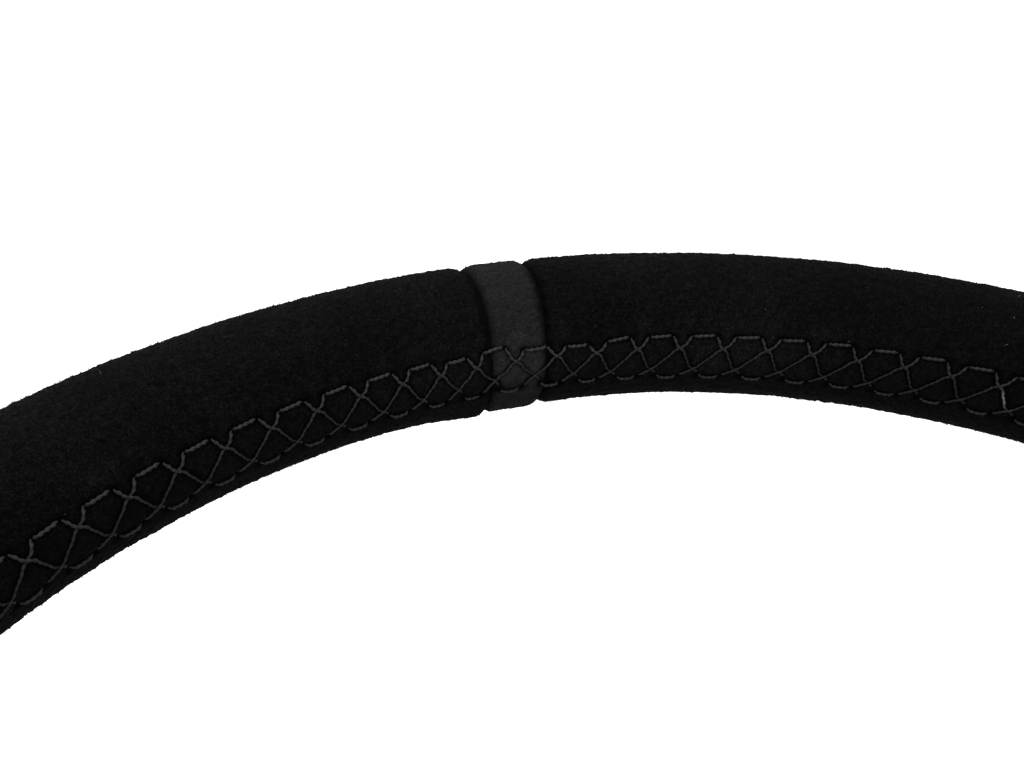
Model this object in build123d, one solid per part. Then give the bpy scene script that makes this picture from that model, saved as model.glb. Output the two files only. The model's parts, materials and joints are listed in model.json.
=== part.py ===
from build123d import *
import math
import os

# Quick release steering wheel: a laced suede rim on a dished three-spoke frame, with a horn push and a
# ball-lock coupling behind it.
#
# Frame: +Z points at the driver along the steering axis, +Y at twelve o'clock. The origin is the centre of
# the column flange's back face, so the wheel lies face up with z = 0 under the flange. Lengths are in
# millimetres.
#
# The coupling is drawn in its release position: the collar is held back against its spring and the balls
# are clear of the stub's groove. Letting the collar go moves it down by COLLAR_STROKE and drives each ball
# in by BALL_STROKE.

# Rim
WHEEL_DIAMETER = 350.0
GRIP_DIAMETER = 32.0
SUEDE_THICKNESS = 1.2
GRIP_RADIUS = GRIP_DIAMETER / 2
RIM_RADIUS = WHEEL_DIAMETER / 2 - GRIP_RADIUS
FOAM_RADIUS = GRIP_RADIUS - SUEDE_THICKNESS
BAND_WIDTH = 13.9
BAND_GAP = 0.3
LACING_START, LACING_END = 159.0, 196.0
LACING_HEIGHT = 0.7

# Stack along the axis, from the column to the driver
COLUMN_FLANGE_THICKNESS = 8.0
STUB_BASE_THICKNESS = 6.0
STUB_BORE_RADIUS = 8.0
SPIGOT_RADIUS = 12.0
SPIGOT_DEPTH = 4.0
STUB_REGISTER_RADIUS = 11.0
COUPLER_MOUTH_Z = 14.6
BALL_Z = 41.0
STUB_TIP_Z = 50.0
COUPLER_FLANGE_Z = 60.0
COUPLER_FLANGE_THICKNESS = 7.0
PLATE_Z = COUPLER_FLANGE_Z + COUPLER_FLANGE_THICKNESS
PLATE_THICKNESS = 4.5
TRIM_Z = PLATE_Z + PLATE_THICKNESS
TRIM_THICKNESS = 4.5
RIM_Z = 110.0
CORE_THICKNESS = 5.0
SPOKE_END_Z = RIM_Z - CORE_THICKNESS / 2 - PLATE_THICKNESS

# Hub and bolt circle
FLANGE_RADIUS = 45.0
BOLT_CIRCLE_RADIUS = 35.0
BOLT_COUNT = 6
BOLT_RADIUS = 2.5
BOLT_CLEARANCE_RADIUS = 2.75
BOLT_HEAD_RADIUS = 4.75
PLATE_BORE_RADIUS = 26.0

# Stub and barrel
STUB_BASE_RADIUS = 24.5
BARREL_RADIUS = 20.0
PILOT_RADIUS = 13.5
PILOT_BORE_END_Z = 52.0
WIRE_CHAMBER_RADIUS = 18.0
WIRE_CHAMBER_END_Z = 62.0
RUNNING_CLEARANCE = 0.05

# Ball lock
BALL_RADIUS = 4.0
BALL_COUNT = 8
BALL_OPEN_RADIUS = 17.7
BALL_STROKE = 1.5
COLLAR_STROKE = 7.5
BALL_CLEARANCE = 0.04
BALL_LOCKED_RADIUS = BALL_OPEN_RADIUS - BALL_STROKE

# Splines
SPLINE_TEETH = 20
SPLINE_ROOT_RADIUS = 14.2
SPLINE_TIP_RADIUS = 16.0
TOOTH_WIDTH = 2.3
MASTER_TOOTH_WIDTH = 4.6
SPLINE_END_Z = 32.5
SPLINE_CLEARANCE = 0.06

# Release collar, in its held-back position
COLLAR_BOTTOM_Z = 24.0
COLLAR_TOP_Z = 59.0
COLLAR_BODY_RADIUS = 27.0
COLLAR_LIP_RADIUS = 33.0
SPRING_POCKET_Z = 53.0
SPRING_POCKET_RADIUS = 23.4
COLLAR_LIP_HEIGHT = 6.0
FLUTE_COUNT = 24
NOTCH_COUNT = 12

# Small parts of the coupling
STUB_SCREW_CIRCLE_RADIUS = 18.0
STUB_SCREW_RADIUS = 2.0
STUB_SCREW_HEAD_RADIUS = 4.0
STUB_SCREW_LENGTH = 12.0
DAMPER_INNER, DAMPER_OUTER = 17.4, 19.4
DAMPER_SEAT_Z = 13.0
CIRCLIP_LOW, CIRCLIP_HIGH = 15.2, 16.4
CIRCLIP_GROOVE_RADIUS = 18.6
CIRCLIP_OUTER_RADIUS = 22.6
SPRING_WIRE_RADIUS = 0.8
SPRING_TURNS = 3.25

# Spokes
SPOKE_ANGLES = (0.0, 180.0, 270.0)
SPOKE_HUB_HALF_WIDTH = 19.0
SPOKE_RIM_HALF_WIDTH = 15.0
SPOKE_END_RADIUS = RIM_RADIUS + 4.0
CORE_HALF_WIDTH = 6.0
SLOT_INNER, SLOT_OUTER, SLOT_WIDTH = 60.0, 126.0, 13.0
DISH_START, DISH_END = 50.0, 136.0
DISH_BEND_RADIUS = 12.0
RIVET_RADIUS = 2.5
RIVET_HEAD_RADIUS = 4.4
RIVET_HEAD_HEIGHT = 1.7
RIVET_OFFSET = 8.0

# Trim ring and its screws
TRIM_INNER, TRIM_OUTER = 30.5, 43.5
SCREW_HEAD_RADIUS = 4.8
SCREW_TOP_Z = TRIM_Z + TRIM_THICKNESS - 0.1

# Horn push
HORN_CAP_RADIUS = 24.0
HORN_TRAVEL = 2.0
HOUSING_FLOOR_Z = 62.5
HOUSING_OUTER, HOUSING_WALL = PLATE_BORE_RADIUS - 0.1, 1.8
BEZEL_OUTER = 30.0
BEZEL_TOP_Z = 84.0
CAP_LIP_RADIUS = 25.6
CAP_LIP_LOW_Z, CAP_LIP_HIGH_Z = 79.0, 81.0
CONTACT_LOW_Z = HOUSING_FLOOR_Z + 2.0
CONTACT_THICKNESS = 0.8
HORN_SPRING_RADIUS = 9.0
HORN_SPRING_WIRE_RADIUS = 0.6
HORN_SPRING_TURNS = 4.0
TERMINAL_OFFSET = 14.0
BLADE_WIDTH, BLADE_THICKNESS = 6.3, 0.8
BLADE_END_Z = 53.5


def turned(points):
    """A solid of revolution about the steering axis, from its outline as (radius, z) points."""
    return revolve(Plane.XZ * make_face(Polyline(*points, close=True)), Axis.Z)


def tube(inner, outer, low, high):
    """A plain ring about the steering axis."""
    return turned([(inner, low), (outer, low), (outer, high), (inner, high)])


def rod(radius, low, high):
    """A plain cylinder on the steering axis."""
    return Pos(0, 0, (low + high) / 2) * Cylinder(radius, high - low)


def around(shape, count, start=0.0):
    """Copies of a shape, evenly spaced about the steering axis."""
    return [Rot(0, 0, start + i * 360 / count) * shape for i in range(count)]


def joined(shapes):
    """One shape out of several, whether they touch or not."""
    first, *rest = shapes
    for other in rest:
        first = first + other
    return first


def grip_section(outer, inner=0.0):
    """The rim's round section at the rim's radius, as a disc or an annulus."""
    disc = Pos(RIM_RADIUS, RIM_Z) * Circle(outer)
    if inner:
        disc = disc - Pos(RIM_RADIUS, RIM_Z) * Circle(inner)
    return Plane.XZ * disc


def grip_arc(section, start, end):
    """A stretch of rim between two angles, in degrees from three o'clock."""
    return Rot(0, 0, start) * revolve(section, Axis.Z, revolution_arc=end - start)


def hex_socket(across_flats, depth, top):
    """The hexagonal hole of a socket screw, opening upwards."""
    hexagon = RegularPolygon(across_flats / 2, 6, major_radius=False)
    return Pos(0, 0, top - depth) * extrude(hexagon, depth)


def spline(root, tip, width, master_width, low, high):
    """A straight-sided external spline with one wider master tooth at twelve o'clock."""
    length = high - low
    base = root - 1.0

    def tooth(tooth_width):
        return Pos((base + tip + 1.0) / 2, 0, (low + high) / 2) * Box(tip + 1.0 - base, tooth_width, length)

    step = 360 / SPLINE_TEETH
    teeth = [Rot(0, 0, 90 + i * step) * tooth(width) for i in range(1, SPLINE_TEETH)]
    teeth.append(Rot(0, 0, 90) * tooth(master_width))
    return rod(root, low, high) + joined(teeth) & rod(tip, low, high)


# ---------------------------------------------------------------- column half


def column_flange():
    """The aluminium base that bolts to the steering boss, with a centring recess underneath."""
    body = chamfer(rod(FLANGE_RADIUS, 0, COLUMN_FLANGE_THICKNESS).edges(), 0.8)
    body -= rod(SPIGOT_RADIUS, -1, SPIGOT_DEPTH)
    body -= rod(STUB_REGISTER_RADIUS, 0, COLUMN_FLANGE_THICKNESS + 1)
    bolt_hole = rod(BOLT_CLEARANCE_RADIUS, -1, COLUMN_FLANGE_THICKNESS + 1)
    bolt_hole += rod(BOLT_HEAD_RADIUS, SPIGOT_DEPTH, COLUMN_FLANGE_THICKNESS + 1)
    for hole in around(Pos(BOLT_CIRCLE_RADIUS, 0, 0) * bolt_hole, BOLT_COUNT, 30):
        body -= hole
    for hole in around(Pos(STUB_SCREW_CIRCLE_RADIUS, 0, 0) * stub_screw_hole(), BOLT_COUNT):
        body -= hole
    return body


def stub_screw_outline(slack=0.0):
    """Half of a countersunk M4 screw's outline, head down, as (radius, z) points."""
    cone = STUB_SCREW_HEAD_RADIUS - STUB_SCREW_RADIUS
    return [
        (0, 0),
        (STUB_SCREW_HEAD_RADIUS, 0),
        (STUB_SCREW_RADIUS, cone),
        (STUB_SCREW_RADIUS, STUB_SCREW_LENGTH + slack),
        (0, STUB_SCREW_LENGTH + slack),
    ]


def stub_screw_hole():
    return turned(stub_screw_outline(slack=0.2))


def stub_screws():
    """Six countersunk screws that hold the splined stub to the flange from underneath."""
    screw = turned(stub_screw_outline()) - extrude(RegularPolygon(1.25, 6, major_radius=False), 2.0)
    return around(Pos(STUB_SCREW_CIRCLE_RADIUS, 0, 0) * screw, BOLT_COUNT)


def spline_stub():
    """The steel stub: base disc, spline, plain pilot nose and the groove that the balls lock in."""
    base_top = COLUMN_FLANGE_THICKNESS + STUB_BASE_THICKNESS
    body = rod(STUB_BASE_RADIUS, COLUMN_FLANGE_THICKNESS, base_top)
    body += rod(STUB_REGISTER_RADIUS, SPIGOT_DEPTH, COLUMN_FLANGE_THICKNESS)
    body += spline(
        SPLINE_ROOT_RADIUS, SPLINE_TIP_RADIUS, TOOTH_WIDTH, MASTER_TOOTH_WIDTH, base_top, SPLINE_END_Z
    )
    nose_chamfer = 2.0
    body += turned([
        (0, base_top),
        (PILOT_RADIUS, base_top),
        (PILOT_RADIUS, STUB_TIP_Z - nose_chamfer),
        (PILOT_RADIUS - nose_chamfer, STUB_TIP_Z),
        (0, STUB_TIP_Z),
    ])
    groove = Plane.XZ * (Pos(BALL_LOCKED_RADIUS, BALL_Z) * Circle(BALL_RADIUS + 2 * BALL_CLEARANCE))
    body -= revolve(groove, Axis.Z)
    body -= rod(STUB_BORE_RADIUS, 0, STUB_TIP_Z + 1)
    body -= tube(DAMPER_INNER, DAMPER_OUTER, DAMPER_SEAT_Z, base_top + 1)
    for hole in around(Pos(STUB_SCREW_CIRCLE_RADIUS, 0, 0) * stub_screw_hole(), BOLT_COUNT):
        body -= hole
    return body


def damper_ring():
    """The rubber ring that takes up end play between stub and coupler."""
    return tube(DAMPER_INNER, DAMPER_OUTER, DAMPER_SEAT_Z, COUPLER_MOUTH_Z)


# ----------------------------------------------------------------- wheel half

def coupler_body():
    """The aluminium socket: flange, barrel, internal spline, pilot bore and ball holes."""
    flange_top = COUPLER_FLANGE_Z + COUPLER_FLANGE_THICKNESS
    body = turned([
        (0, COUPLER_MOUTH_Z),
        (BARREL_RADIUS - 0.6, COUPLER_MOUTH_Z),
        (BARREL_RADIUS, COUPLER_MOUTH_Z + 0.6),
        (BARREL_RADIUS, COUPLER_FLANGE_Z),
        (FLANGE_RADIUS - 0.8, COUPLER_FLANGE_Z),
        (FLANGE_RADIUS, COUPLER_FLANGE_Z + 0.8),
        (FLANGE_RADIUS, flange_top - 0.8),
        (FLANGE_RADIUS - 0.8, flange_top),
        (0, flange_top),
    ])
    body -= spline(
        SPLINE_ROOT_RADIUS + SPLINE_CLEARANCE,
        SPLINE_TIP_RADIUS + SPLINE_CLEARANCE,
        TOOTH_WIDTH + 2 * SPLINE_CLEARANCE,
        MASTER_TOOTH_WIDTH + 2 * SPLINE_CLEARANCE,
        COUPLER_MOUTH_Z - 1,
        SPLINE_END_Z + 0.5,
    )
    body -= rod(PILOT_RADIUS + RUNNING_CLEARANCE, COUPLER_MOUTH_Z, PILOT_BORE_END_Z)
    body -= rod(WIRE_CHAMBER_RADIUS, PILOT_BORE_END_Z, WIRE_CHAMBER_END_Z)
    body -= rod(PLATE_BORE_RADIUS + 0.4, WIRE_CHAMBER_END_Z, flange_top + 1)
    body -= tube(CIRCLIP_GROOVE_RADIUS, BARREL_RADIUS + 1, CIRCLIP_LOW, CIRCLIP_HIGH)
    seat = BALL_RADIUS + BALL_CLEARANCE
    ball_hole = Pos(BALL_LOCKED_RADIUS, 0, BALL_Z) * Sphere(seat)
    run = BARREL_RADIUS + 4 - BALL_LOCKED_RADIUS
    ball_hole += Pos(BALL_LOCKED_RADIUS + run / 2, 0, BALL_Z) * Rot(0, 90, 0) * Cylinder(seat, run)
    for hole in around(ball_hole, BALL_COUNT):
        body -= hole
    bolt_hole = rod(BOLT_RADIUS, COUPLER_FLANGE_Z - 1, flange_top + 1)
    for hole in around(Pos(BOLT_CIRCLE_RADIUS, 0, 0) * bolt_hole, BOLT_COUNT, 30):
        body -= hole
    scallop = Pos(FLANGE_RADIUS + 6, 0, 0) * rod(13.0, COUPLER_FLANGE_Z - 1, flange_top + 1)
    for cut in around(scallop, BOLT_COUNT):
        body -= cut
    return body


def circlip():
    """The open retaining ring that stops the collar coming off the barrel."""
    ring = tube(CIRCLIP_GROOVE_RADIUS, CIRCLIP_OUTER_RADIUS, CIRCLIP_LOW, CIRCLIP_HIGH)
    return ring - Pos(0, -21, CIRCLIP_LOW) * Box(7, 8, 8)


def release_collar():
    """The sliding sleeve, whose inner taper frees the balls as it is drawn back and drives them in again."""
    guide = BARREL_RADIUS + RUNNING_CLEARANCE
    slope = BALL_STROKE / COLLAR_STROKE
    reach = (BALL_RADIUS + BALL_CLEARANCE) * math.hypot(1, slope)
    taper_at_ball = BALL_OPEN_RADIUS + reach
    taper_top_z = BALL_Z + (taper_at_ball - guide) / slope
    recess_low_z, recess_high_z = 37.2, 40.0
    recess = taper_at_ball + (BALL_Z - recess_high_z) * slope
    lip_top = COLLAR_BOTTOM_Z + COLLAR_LIP_HEIGHT
    collar = turned([
        (guide, COLLAR_BOTTOM_Z),
        (COLLAR_LIP_RADIUS - 1.5, COLLAR_BOTTOM_Z),
        (COLLAR_LIP_RADIUS, COLLAR_BOTTOM_Z + 1.5),
        (COLLAR_LIP_RADIUS, lip_top - 1.5),
        (COLLAR_LIP_RADIUS - 1.5, lip_top),
        (COLLAR_BODY_RADIUS, lip_top + 3),
        (COLLAR_BODY_RADIUS, COLLAR_TOP_Z - 1.5),
        (COLLAR_BODY_RADIUS - 1.5, COLLAR_TOP_Z),
        (SPRING_POCKET_RADIUS, COLLAR_TOP_Z),
        (SPRING_POCKET_RADIUS, SPRING_POCKET_Z),
        (guide, SPRING_POCKET_Z),
        (guide, taper_top_z),
        (recess, recess_high_z),
        (recess, recess_low_z),
        (guide, recess_low_z - 1.0),
    ])
    flute = Pos(COLLAR_BODY_RADIUS + 1.1, 0, 0) * rod(2.0, 36.5, COLLAR_TOP_Z - 5)
    for cut in around(flute, FLUTE_COUNT):
        collar -= cut
    notch = Pos(COLLAR_LIP_RADIUS + 2.4, 0, 0) * rod(4.0, COLLAR_BOTTOM_Z - 1, lip_top + 4)
    for cut in around(notch, NOTCH_COUNT):
        collar -= cut
    return collar


def coil_spring(radius, wire_radius, low, high, turns):
    """A round-wire compression spring standing on the steering axis between two heights."""
    first, last = low + wire_radius, high - wire_radius
    path = Pos(0, 0, first) * Helix(pitch=(last - first) / turns, height=last - first, radius=radius)
    section = Plane(origin=path @ 0, z_dir=path % 0) * Circle(wire_radius)
    return sweep(section, path=path)


def collar_spring():
    """The spring that returns the collar, shown closed up between the collar's pocket and the flange."""
    radius = (BARREL_RADIUS + SPRING_POCKET_RADIUS) / 2
    low, high = SPRING_POCKET_Z + 0.05, COUPLER_FLANGE_Z - 0.05
    return coil_spring(radius, SPRING_WIRE_RADIUS, low, high, SPRING_TURNS)


def lock_ball(index):
    """One hardened locking ball, clear of the groove."""
    return Rot(0, 0, index * 360 / BALL_COUNT) * Pos(BALL_OPEN_RADIUS, 0, BALL_Z) * Sphere(BALL_RADIUS)


# ------------------------------------------------------- spoke frame and hub


def spoke_plan():
    """The frame's outline seen from the driver: a hub disc and three tapering slotted spokes."""
    outline = Circle(FLANGE_RADIUS)
    hub, rim, end = 30.0, RIM_RADIUS - GRIP_RADIUS - 12, SPOKE_END_RADIUS
    wide, narrow = SPOKE_HUB_HALF_WIDTH, SPOKE_RIM_HALF_WIDTH
    spoke = make_face(Polyline(
        (hub, -wide), (rim, -narrow), (end, -narrow), (end, narrow), (rim, narrow), (hub, wide), close=True
    ))
    for angle in SPOKE_ANGLES:
        outline += Rot(0, 0, angle) * spoke
    corners = [v for v in outline.vertices() if abs(math.hypot(v.X, v.Y) - FLANGE_RADIUS) < 0.5]
    outline = fillet(corners, 12.0)
    slot = Pos((SLOT_INNER + SLOT_OUTER) / 2, 0) * SlotOverall(SLOT_OUTER - SLOT_INNER, SLOT_WIDTH)
    for angle in SPOKE_ANGLES:
        outline -= Rot(0, 0, angle) * slot
    return outline


def spoke_blank():
    """The dished sheet that the spoke outline is cut from: flat hub, sloping spokes, flat ends in the rim."""
    rise = SPOKE_END_Z - PLATE_Z
    slope = math.atan2(rise, DISH_END - DISH_START)
    shift = PLATE_THICKNESS * math.tan(slope / 2)
    reach = RIM_RADIUS + GRIP_RADIUS
    edge, inside = 0.01, DISH_BEND_RADIUS - PLATE_THICKNESS
    outline = FilletPolyline(
        (0, PLATE_Z),
        (DISH_START, PLATE_Z),
        (DISH_END, SPOKE_END_Z),
        (reach, SPOKE_END_Z),
        (reach, SPOKE_END_Z + PLATE_THICKNESS),
        (DISH_END - shift, SPOKE_END_Z + PLATE_THICKNESS),
        (DISH_START - shift, TRIM_Z),
        (0, TRIM_Z),
        radius=[edge, inside, DISH_BEND_RADIUS, edge, edge, inside, DISH_BEND_RADIUS, edge],
        close=True,
    )
    return revolve(Plane.XZ * make_face(outline), Axis.Z)


def rivet_places():
    """Where the rivets stand: two through each spoke end and the core ring."""
    return [
        Rot(0, 0, angle) * Pos(RIM_RADIUS, side * RIVET_OFFSET, 0)
        for angle in SPOKE_ANGLES
        for side in (-1, 1)
    ]


def spoke_frame():
    """The dished aluminium frame with its bolt circle and horn bore."""
    depth = RIM_Z + 20
    frame = spoke_blank() & extrude(spoke_plan(), depth)
    frame -= rod(PLATE_BORE_RADIUS, PLATE_Z - 1, TRIM_Z + 1)
    for hole in around(Pos(BOLT_CIRCLE_RADIUS, 0, 0) * rod(BOLT_RADIUS + 0.2, 60, 80), BOLT_COUNT, 30):
        frame -= hole
    for place in rivet_places():
        frame -= place * rod(RIVET_RADIUS, 90, RIM_Z)
    return frame


def screw_outline(top, bottom, slack=0.0):
    """Half of a countersunk M5 screw's outline, head up, as (radius, z) points."""
    cone = SCREW_HEAD_RADIUS - BOLT_RADIUS
    cone_top = SCREW_TOP_Z - 0.4
    return [
        (0, top),
        (SCREW_HEAD_RADIUS + slack, top),
        (SCREW_HEAD_RADIUS + slack, cone_top),
        (BOLT_RADIUS + slack, cone_top - cone),
        (BOLT_RADIUS + slack, bottom),
        (0, bottom),
    ]


def trim_ring():
    """The ring under the screw heads, which also frames the horn push."""
    top = TRIM_Z + TRIM_THICKNESS
    ring = turned([
        (TRIM_INNER, TRIM_Z),
        (TRIM_OUTER, TRIM_Z),
        (TRIM_OUTER, top - 1.2),
        (TRIM_OUTER - 1.2, top),
        (TRIM_INNER + 0.8, top),
        (TRIM_INNER, top - 0.8),
    ])
    sink = turned(screw_outline(top + 1, TRIM_Z - 1, slack=0.1))
    for hole in around(Pos(BOLT_CIRCLE_RADIUS, 0, 0) * sink, BOLT_COUNT, 30):
        ring -= hole
    return ring


def wheel_screws():
    """Six countersunk M5 screws through trim ring and frame into the coupler flange."""
    screw = turned(screw_outline(SCREW_TOP_Z, COUPLER_FLANGE_Z + 0.5)) - hex_socket(3.0, 2.4, SCREW_TOP_Z)
    return around(Pos(BOLT_CIRCLE_RADIUS, 0, 0) * screw, BOLT_COUNT, 30)


# ------------------------------------------------------------------ horn push

def horn_housing():
    """The plastic cup that drops into the frame's bore and carries the contacts."""
    top = TRIM_Z + 2.0
    cup = turned([
        (0, HOUSING_FLOOR_Z),
        (HOUSING_OUTER, HOUSING_FLOOR_Z),
        (HOUSING_OUTER, TRIM_Z),
        (BEZEL_OUTER, TRIM_Z),
        (BEZEL_OUTER, top),
        (HOUSING_OUTER - HOUSING_WALL, top),
        (HOUSING_OUTER - HOUSING_WALL, HOUSING_FLOOR_Z + 2),
        (0, HOUSING_FLOOR_Z + 2),
    ])
    for side in (-1, 1):
        cup -= Pos(side * TERMINAL_OFFSET, 0, HOUSING_FLOOR_Z) * Box(BLADE_WIDTH, BLADE_THICKNESS, 8)
    return cup


def horn_bezel():
    """The ring that clips over the housing and keeps the cap in."""
    low = TRIM_Z + 2.0
    lip = HORN_CAP_RADIUS + 0.25
    bore = CAP_LIP_RADIUS + 0.25
    return turned([
        (bore, low),
        (BEZEL_OUTER, low),
        (BEZEL_OUTER, BEZEL_TOP_Z - 3.5),
        (BEZEL_OUTER - 1.0, BEZEL_TOP_Z - 1.2),
        (BEZEL_OUTER - 3.0, BEZEL_TOP_Z),
        (lip + 1.0, BEZEL_TOP_Z),
        (lip, BEZEL_TOP_Z - 1.0),
        (lip, CAP_LIP_HIGH_Z + 0.1),
        (bore, CAP_LIP_HIGH_Z + 0.1),
    ])


def horn_cap():
    """The domed cap that the driver presses."""
    edge_z, crown_z = 83.4, 86.4
    edge_radius, drop = HORN_CAP_RADIUS - 0.8, crown_z - edge_z
    dome_radius = (edge_radius**2 + drop**2) / (2 * drop)
    half = math.asin(edge_radius / dome_radius) / 2
    middle = (dome_radius * math.sin(half), crown_z - dome_radius * (1 - math.cos(half)))
    outline = ThreePointArc((edge_radius, edge_z), middle, (0, crown_z))
    outline += Polyline(
        (0, crown_z),
        (0, CAP_LIP_HIGH_Z),
        (HORN_CAP_RADIUS - 3, CAP_LIP_HIGH_Z),
        (HORN_CAP_RADIUS - 3, CAP_LIP_LOW_Z),
        (CAP_LIP_RADIUS, CAP_LIP_LOW_Z),
        (CAP_LIP_RADIUS, CAP_LIP_HIGH_Z),
        (HORN_CAP_RADIUS, CAP_LIP_HIGH_Z),
        (HORN_CAP_RADIUS, edge_z - 0.8),
        (edge_radius, edge_z),
    )
    return revolve(Plane.XZ * make_face(outline), Axis.Z)


def horn_contact_lower():
    """The fixed brass contact: an open ring over the right blade, whose rim meets the moving contact."""
    rim_top = CAP_LIP_HIGH_Z - 1.0 - HORN_TRAVEL - 0.1
    ring = turned([
        (11.5, CONTACT_LOW_Z),
        (18.0, CONTACT_LOW_Z),
        (18.0, rim_top),
        (17.2, rim_top),
        (17.2, CONTACT_LOW_Z + CONTACT_THICKNESS),
        (11.5, CONTACT_LOW_Z + CONTACT_THICKNESS),
    ])
    return ring - Pos(-15, 0, CONTACT_LOW_Z) * Box(12, 9, 40)


def horn_spring_plate():
    """The brass plate under the horn spring, with a tab over the left blade."""
    disc = rod(10.3, CONTACT_LOW_Z, CONTACT_LOW_Z + CONTACT_THICKNESS)
    tab = Pos(-12.5, 0, CONTACT_LOW_Z + CONTACT_THICKNESS / 2) * Box(10, 5, CONTACT_THICKNESS)
    return disc + tab


def horn_contact_upper():
    """The moving brass contact, a disc under the cap."""
    return tube(3.0, HORN_CAP_RADIUS - 4, CAP_LIP_HIGH_Z - 1.0, CAP_LIP_HIGH_Z)


def horn_spring():
    """The spring that lifts the cap."""
    low = CONTACT_LOW_Z + CONTACT_THICKNESS + 0.05
    high = CAP_LIP_HIGH_Z - 1.05
    return coil_spring(HORN_SPRING_RADIUS, HORN_SPRING_WIRE_RADIUS, low, high, HORN_SPRING_TURNS)


def horn_terminals():
    """Two blade terminals through the cup's floor for the horn leads."""
    length = CONTACT_LOW_Z - BLADE_END_Z
    blade = Pos(0, 0, CONTACT_LOW_Z - length / 2) * Box(BLADE_WIDTH, BLADE_THICKNESS, length)
    eye = Pos(0, 0, BLADE_END_Z + 3) * Rot(90, 0, 0) * Cylinder(0.9, 3)
    return [Pos(side * TERMINAL_OFFSET, 0, 0) * (blade - eye) for side in (-1, 1)]


# ------------------------------------------------------------------------ rim


def rim_core_ring():
    """The flat steel ring inside the rim."""
    low = RIM_Z - CORE_THICKNESS / 2
    ring = tube(RIM_RADIUS - CORE_HALF_WIDTH, RIM_RADIUS + CORE_HALF_WIDTH, low, low + CORE_THICKNESS)
    for place in rivet_places():
        ring -= place * rod(RIVET_RADIUS, low - 1, low + CORE_THICKNESS + 1)
    return ring


def core_rivets():
    """Six rivets that fasten the spoke ends to the core ring."""
    low, high = SPOKE_END_Z, RIM_Z + CORE_THICKNESS / 2
    rivet = rod(RIVET_RADIUS, low, high)
    rivet += rod(RIVET_HEAD_RADIUS, low - RIVET_HEAD_HEIGHT, low)
    rivet += rod(RIVET_HEAD_RADIUS, high, high + RIVET_HEAD_HEIGHT)
    return [place * rivet for place in rivet_places()]


def foam_core(frame, ring, rivets):
    """The foam moulded round the core ring, the spoke ends and the rivets."""
    foam = revolve(grip_section(FOAM_RADIUS), Axis.Z) - ring - frame
    for rivet in rivets:
        foam -= rivet
    return foam


def band_half_angle():
    return math.degrees(BAND_WIDTH / 2 / RIM_RADIUS)


def suede_cover(start, end, frame):
    """One suede cover, a skin over the foam that opens where a spoke goes in."""
    return grip_arc(grip_section(GRIP_RADIUS, FOAM_RADIUS), start, end) - frame


def lacing_arcs():
    """The angles that the laced seam runs between, from one spoke boot to the next."""
    clear = math.degrees((SPOKE_RIM_HALF_WIDTH + 6) / (RIM_RADIUS - GRIP_RADIUS))
    return [(clear, 180 - clear), (180 + clear, 270 - clear), (270 + clear, 360 - clear)]


def seam_lacing():
    """The envelope of the cross lacing along the inside of the rim."""
    start, end = math.radians(LACING_START), math.radians(LACING_END)
    middle = (start + end) / 2
    inner, outer = GRIP_RADIUS, GRIP_RADIUS + LACING_HEIGHT

    def at(radius, angle):
        return (RIM_RADIUS + radius * math.cos(angle), RIM_Z + radius * math.sin(angle))

    outline = ThreePointArc(at(inner, start), at(inner, middle), at(inner, end))
    outline += Line(at(inner, end), at(outer, end))
    outline += ThreePointArc(at(outer, end), at(outer, middle), at(outer, start))
    outline += Line(at(outer, start), at(inner, start))
    section = Plane.XZ * make_face(outline)
    return [grip_arc(section, low, high) for low, high in lacing_arcs()]


def spoke_boot(angle, frame):
    """A moulded rubber collar where a spoke goes into the rim."""
    inner = RIM_RADIUS - GRIP_RADIUS - 4
    outer = inner + 9
    middle_z = SPOKE_END_Z + PLATE_THICKNESS / 2
    block = Box(outer - inner, 2 * SPOKE_RIM_HALF_WIDTH + 7, PLATE_THICKNESS + 6)
    block = fillet(block.edges().filter_by(Axis.X), 4.0)
    block = Rot(0, 0, angle) * Pos((inner + outer) / 2, 0, middle_z) * block
    return block - revolve(grip_section(GRIP_RADIUS), Axis.Z) - frame


# ---------------------------------------------------------------------- build


def build():
    frame, ring, rivets = spoke_frame(), rim_core_ring(), core_rivets()
    half_band = band_half_angle()
    half_gap = math.degrees(BAND_GAP / 2 / RIM_RADIUS)
    nodes = {
        "column_flange": column_flange(),
        "spline_stub": spline_stub(),
        "stub_screws": stub_screws(),
        "damper_ring": damper_ring(),
        "coupler_body": coupler_body(),
        "release_collar": release_collar(),
        "collar_spring": collar_spring(),
        "collar_circlip": circlip(),
        "spoke_frame": frame,
        "trim_ring": trim_ring(),
        "wheel_screws": wheel_screws(),
        "horn_housing": horn_housing(),
        "horn_bezel": horn_bezel(),
        "horn_cap": horn_cap(),
        "horn_contact_lower": horn_contact_lower(),
        "horn_spring_plate": horn_spring_plate(),
        "horn_contact_upper": horn_contact_upper(),
        "horn_spring": horn_spring(),
        "horn_terminals": horn_terminals(),
        "rim_core_ring": ring,
        "core_rivets": rivets,
        "foam_core": foam_core(frame, ring, rivets),
        "suede_upper_left": suede_cover(90 + half_band + half_gap, 180, frame),
        "suede_lower_left": suede_cover(180, 270, frame),
        "suede_upper_right": suede_cover(0, 90 - half_band - half_gap, frame),
        "suede_lower_right": suede_cover(-90, 0, frame),
        "centre_band": suede_cover(90 - half_band + half_gap, 90 + half_band - half_gap, frame),
        "seam_lacing": seam_lacing(),
    }
    for index in range(BALL_COUNT):
        nodes[f"lock_ball_{index + 1}"] = lock_ball(index)
    for name, angle in zip(("right", "left", "lower"), SPOKE_ANGLES):
        nodes[f"spoke_boot_{name}"] = spoke_boot(angle, frame)
    return nodes


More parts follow.
